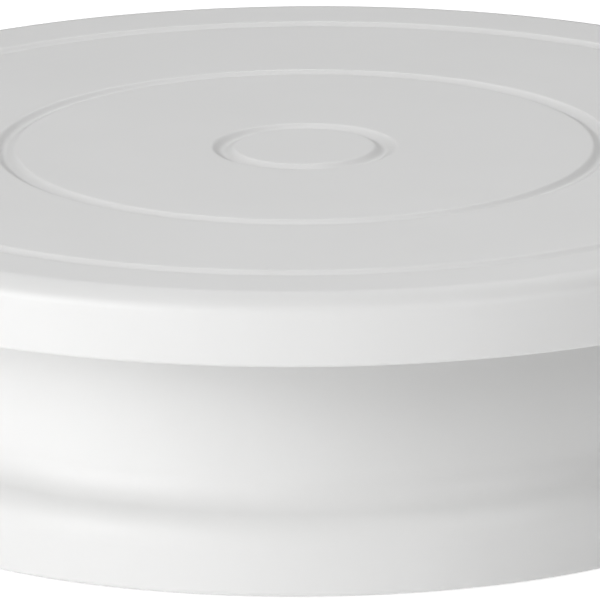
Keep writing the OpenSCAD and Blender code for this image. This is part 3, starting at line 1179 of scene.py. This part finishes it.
@dataclass
class Base:
    """The flared drum that carries the bearing, with its cover, the cover's screws and the rubber feet."""

    shop: Workshop
    track: Track = Track()
    screw: PanScrew = PanScrew()
    neck: float = 113.5
    wall: float = 3.0
    deck: float = 3.2
    deck_corner: float = 6.0
    foot_wall: float = 12.5
    flare: float = 16.5
    cove_share: float = 0.5
    toe: float = 1.5
    rib_depth: float = 14.0
    hub: float = 14.05
    hub_length: float = 24.0
    bore: float = 8.05
    boss_radius: float = 4.5
    pilot_radius: float = 1.62
    cover_screws_at: float = 107.0
    feet_at: float = 105.6
    pocket: float = 0.8
    counterbore: float = 1.5

    def side(self, offset: float, foot: float, bottom: float, steps: int) -> Array:
        """The flared side, offset inwards from the outer face, from the neck down to the foot's wall.

        The cove and the shoulder are arcs that meet on one slope; their radii add up to
        h / sin(a), where a = 2 atan(w / h) for a flare w wide and h high.

        Args:
            offset: how far in from the outer face.
            foot: radius of the foot's outer face.
            bottom: height where the foot's wall starts.
            steps: chords along each arc.

        Returns:
            The outline.
        """
        wall_top = bottom + self.foot_wall
        angle = 2 * math.degrees(math.atan((foot - self.neck) / self.flare))
        radii = self.flare / math.sin(math.radians(angle))
        cove = radii * self.cove_share
        shoulder = radii - cove
        hollow = arc((self.neck + cove, wall_top + self.flare), cove + offset, 180, 180 + angle, steps)
        over = arc((foot - shoulder, wall_top), shoulder - offset, angle, 0, steps)
        return np.vstack([hollow, over[1:]])

    def shell(self) -> None:
        """Builds the shell as one closed surface, with the screw bosses inside it."""
        foot, bottom, top = extent("base_shell")
        track, under, step = self.track, top - self.deck, self.track.channel_depth
        way_in, way_out = track.radius - track.channel, track.radius + track.channel
        ring_in, ring_out, ring_low = way_in - 3, way_out + 3, top - self.deck - step - 0.8
        low = top - self.hub_length
        deck = rounded([(self.bore, top, 0), (way_in, top, 0), (way_in, top - step, 0.4),
                        (way_out, top - step, 0.4),
                        (way_out, top, 0), (self.neck, top, self.deck_corner), (self.neck, top - 10, 0)],
                       steps=14)
        toe = arc((foot - self.toe, bottom + self.toe), self.toe, 0, -90, 8)
        outside = np.vstack([deck, self.side(0.0, foot, bottom, 18), toe])
        inside = np.vstack([
            np.array([[foot - self.wall, bottom]]), self.side(self.wall, foot, bottom, 10)[::-1],
            rounded([(self.neck - self.wall, top - 12, 0), (self.neck - self.wall, under, 3.0),
                     (ring_out, under, 0.6),
                     (ring_out, ring_low, 0.4), (ring_in, ring_low, 0.4), (ring_in, under, 0.6),
                     (self.hub, under, 0.8),
                     (self.hub, low, 0.5), (self.bore, low, 0.3), (self.bore, top, 0)])])
        first, second = spaced(outside, 9.0), spaced(np.vstack([outside[-1:], inside]), 12.0)[1:-1]
        outline = np.vstack([first, second])
        crossed = np.concatenate([np.zeros(len(first), bool), second[:, 0] > self.hub - 0.01])
        skin, boss, stand = Skin(), Skin(), Skin()
        skin.grid(Ribs(under, self.rib_depth).surface(outline, crossed), wrap_rows=True)
        wide, pilot = self.boss_radius, self.pilot_radius
        boss.lathe(rounded([(0, under + 1, 0), (wide, under + 1, 0), (wide, top - 8.5, 0.3),
                            (pilot, top - 8.5, 0.2), (pilot, top - 5, 0), (0, top - 5, 0)]), 48)
        cover_top = extent("base_cover")[1] + 3.0
        stand.lathe(rounded([(0, 33, 0), (wide, 33, 0.4), (wide, cover_top, 0.2), (pilot, cover_top, 0.1),
                             (pilot, cover_top + 9, 0), (0, cover_top + 9, 0)]), 48)
        skin.copy_round(boss, 6, track.screws_at)
        skin.copy_round(stand, 6, self.cover_screws_at, 30)
        self.shop.fit(skin.piece("drum"), "base", Slot.WHITE_PLASTIC, "base_shell")

    def cover(self) -> None:
        """Builds the cover: twelve sectors hold six foot pockets and six counterbored screw holes."""
        outer, low, high = extent("base_cover")
        top, bevel, inner, border = high - 3.0, 0.6, 94.0, outer - 2.6
        angles = ring_columns(12, 16)
        rise = [(0, top, 0)]
        for rib in (outer * 0.3, outer * 0.7):
            rise += [(rib, top, 0.3), (rib, high, 0.3), (rib + 2, high, 0.3), (rib + 2, top, 0.3)]
        rise += [(outer, top, 0.2), (outer, low, bevel), (border, low, 0)]
        skin = Skin()
        skin.grid(turned(spaced(rounded(rise), 8.0), angles))
        skin.grid(turned(spaced(np.array([[inner, low], [0, low]]), 8.0), angles))
        bore, seat = self.screw.head + 0.4, low + self.counterbore
        holes = (
            (0, self.feet_at, [(9.3, low, 0), (9.1, low, 0.15), (9.1, low + self.pocket, 0.1),
                               (0, low + self.pocket, 0)]),
            (30, self.cover_screws_at, [(bore + 0.3, low, 0), (bore, low, 0.2), (bore, seat, 0.1),
                                        (1.9, seat, 0.1), (1.9, top - 0.1, 0), (0, top - 0.1, 0)]))
        for start, middle, corners in holes:
            sector, wall = Skin(), rounded(corners)
            flat = sector_with_hole(inner, border, math.pi / 12, middle, corners[0][0], low)
            sector.grid(flat, inside_out=True)
            sector.grid(hole_wall(wall, middle))
            skin.copy_round(sector, 6, 0.0, start)
        self.shop.fit(skin.piece("cover"), "base", Slot.WHITE_PLASTIC, "base_cover")
        screws = Skin()
        screws.copy_round(self.screw.skin(12.0), 6, self.cover_screws_at, 30, seat, turned_over=True)
        self.shop.fit(screws.piece("cover_fixings"), "base", Slot.SCREW_STEEL, "cover_screws")

    def feet(self) -> None:
        """Builds the rubber feet: discs with a soft edge and a shallow dish underneath."""
        high = extent("foot_1")[2]
        pad, radius = Skin(), 9.0
        pad.lathe(spaced(rounded([(0, high, 0), (radius, high, 0.2), (radius, 0, 0.8), (6.6, 0, 0.3),
                                  (6.2, 0.35, 0.4), (0, 0.35, 0)], steps=6), 2.0), 64)
        for i in range(6):
            skin = Skin()
            skin.copy_round(pad, 1, self.feet_at, i * 60.0)
            self.shop.fit(skin.piece(f"foot_pad_{i + 1}"), "base", Slot.RUBBER, f"foot_{i + 1}")

    def build(self) -> None:
        """Builds every piece of the base."""
        self.shell()
        self.cover()
        self.feet()


# ---------------------------------------------------------------- studio


@dataclass(frozen=True)
class Lamp:
    """One soft studio light, aimed at the stand from a direction given in degrees."""

    name: str
    azimuth: float
    elevation: float
    power: float
    size: float = 1.0
    distance: float = 1.6

    def hang(self) -> None:
        """Hangs the light: azimuth 0 is in front of the stand, and 90 to its right."""
        a, e = math.radians(self.azimuth), math.radians(self.elevation)
        towards = Vector((math.cos(e) * math.sin(a), -math.cos(e) * math.cos(a), math.sin(e)))
        data = bpy.data.lights.new(self.name, "AREA")
        data.shape = "DISK"
        data.size = self.size
        data.energy = self.power
        thing = bpy.data.objects.new(self.name, data)
        thing.location = towards * self.distance + Vector((0, 0, 0.05))
        thing.rotation_euler = towards.to_track_quat("Z", "Y").to_euler()
        bpy.context.scene.collection.objects.link(thing)


@dataclass(frozen=True)
class Studio:
    """The pale floor, the soft lights and the camera."""

    elevation: float = 14.83
    roll: float = -0.39
    distance: float = 7.2
    field_width: float = 0.15349
    aim_right: float = -0.0011
    aim_up: float = -0.03936
    floor_reach: float = 8.0
    floor_colour: Colour = (0.85, 0.85, 0.85)
    ambient: float = 0.02
    floor_glow: float = 0.283
    seen_glow: float = 0.7
    lamps: tuple[Lamp, ...] = (
        Lamp("key", -50.0, 22.0, 12.1),
        Lamp("low_key", -50.0, 8.0, 6.3),
        Lamp("fill", 50.0, 35.0, 7.2),
        Lamp("back", 180.0, 40.0, 6.5),
        Lamp("overhead", 0.0, 88.0, 6.1),
    )

    def floor(self) -> None:
        """Lays a plain pale floor, which glows a little and can be seen through from underneath."""
        mesh = bpy.data.meshes.new("floor")
        corner = np.array([[-1, -1, 0], [1, -1, 0], [1, 1, 0], [-1, 1, 0]], float) * self.floor_reach
        mesh.from_pydata(corner.tolist(), [], [(0, 1, 2, 3)])
        material = bpy.data.materials.new("pale_floor")
        material.use_nodes = True
        nodes, fixed = Nodes(material.node_tree), material.node_tree.nodes
        shader = fixed["Principled BSDF"]
        seen = nodes.add("LightPath").outputs["Is Camera Ray"]
        glow = nodes.ramp(seen, 0.0, 1.0, self.floor_glow, self.seen_glow)
        nodes.feed(shader, {"Base Color": (*self.floor_colour, 1), "Roughness": 0.8,
                            "Specular IOR Level": 0.1, "Emission Color": (1, 1, 1, 1),
                            "Emission Strength": glow})
        under = nodes.add("NewGeometry").outputs["Backfacing"]
        clear = nodes.add("BsdfTransparent").outputs[0]
        mixed = nodes.add("MixShader", {0: under, 1: shader.outputs[0], 2: clear})
        nodes.feed(fixed["Material Output"], {"Surface": mixed.outputs[0]})
        mesh.materials.append(material)
        thing = bpy.data.objects.new("floor", mesh)
        bpy.context.scene.collection.objects.link(thing)

    def sky(self) -> None:
        """Gives the world an even white that is seen full and lights the stand only faintly."""
        world = bpy.data.worlds.new("soft_box")
        world.use_nodes = True
        nodes = Nodes(world.node_tree)
        seen = nodes.add("LightPath").outputs["Is Camera Ray"]
        strength = nodes.ramp(seen, 0.0, 1.0, self.ambient, 1.0)
        nodes.feed(world.node_tree.nodes["Background"], {"Color": (1, 1, 1, 1), "Strength": strength})
        bpy.context.scene.world = world

    def camera(self, top: float) -> None:
        """Sets up the camera in front of the stand, turned a little about its own line of sight.

        Args:
            top: the height of the plate's top, in metres.
        """
        e = math.radians(self.elevation)
        back = Vector((0, -math.cos(e), math.sin(e)))
        turn = Matrix.Rotation(math.radians(self.roll), 3, back)
        right = turn @ Vector((1, 0, 0))
        up = back.cross(right)
        aim = Vector((0, 0, top)) + right * self.aim_right + up * self.aim_up
        data = bpy.data.cameras.new("camera")
        data.sensor_width = 36.0
        data.lens = 36.0 * self.distance / self.field_width
        data.clip_start, data.clip_end = 0.5, 40.0
        thing = bpy.data.objects.new("camera", data)
        place = Matrix((right, up, back)).transposed().to_4x4()
        place.translation = aim + back * self.distance
        thing.matrix_world = place
        bpy.context.scene.collection.objects.link(thing)
        bpy.context.scene.camera = thing

    def build(self, top: float) -> None:
        """Lays the floor, hangs the lights and sets up the camera.

        Args:
            top: the height of the plate's top, in metres.
        """
        self.floor()
        self.sky()
        for lamp in self.lamps:
            lamp.hang()
        self.camera(top)
        bpy.context.scene.view_settings.view_transform = "Standard"


def corners(bounds: tuple) -> list[list[float]]:
    """The two corners of a box as plain lists.

    Args:
        bounds: the box's lowest and highest corners.

    Returns:
        The same corners as lists of numbers.
    """
    return [[float(x) for x in corner] for corner in bounds]


def main() -> None:
    """Builds the stand sub-assembly by sub-assembly, then the studio round it."""
    logging.basicConfig(level=logging.INFO, format="%(name)s: %(message)s")
    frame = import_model()
    shop = Workshop(frame, Palette())
    shop.dress_the_rest()
    for part in (Plate(shop), Bearing(shop), Spindle(shop), Base(shop)):
        part.build()
        LOG.info("%s done", type(part).__name__)
    Studio().build(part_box("top_plate")[1].z)


if __name__ == "__main__":
    main()
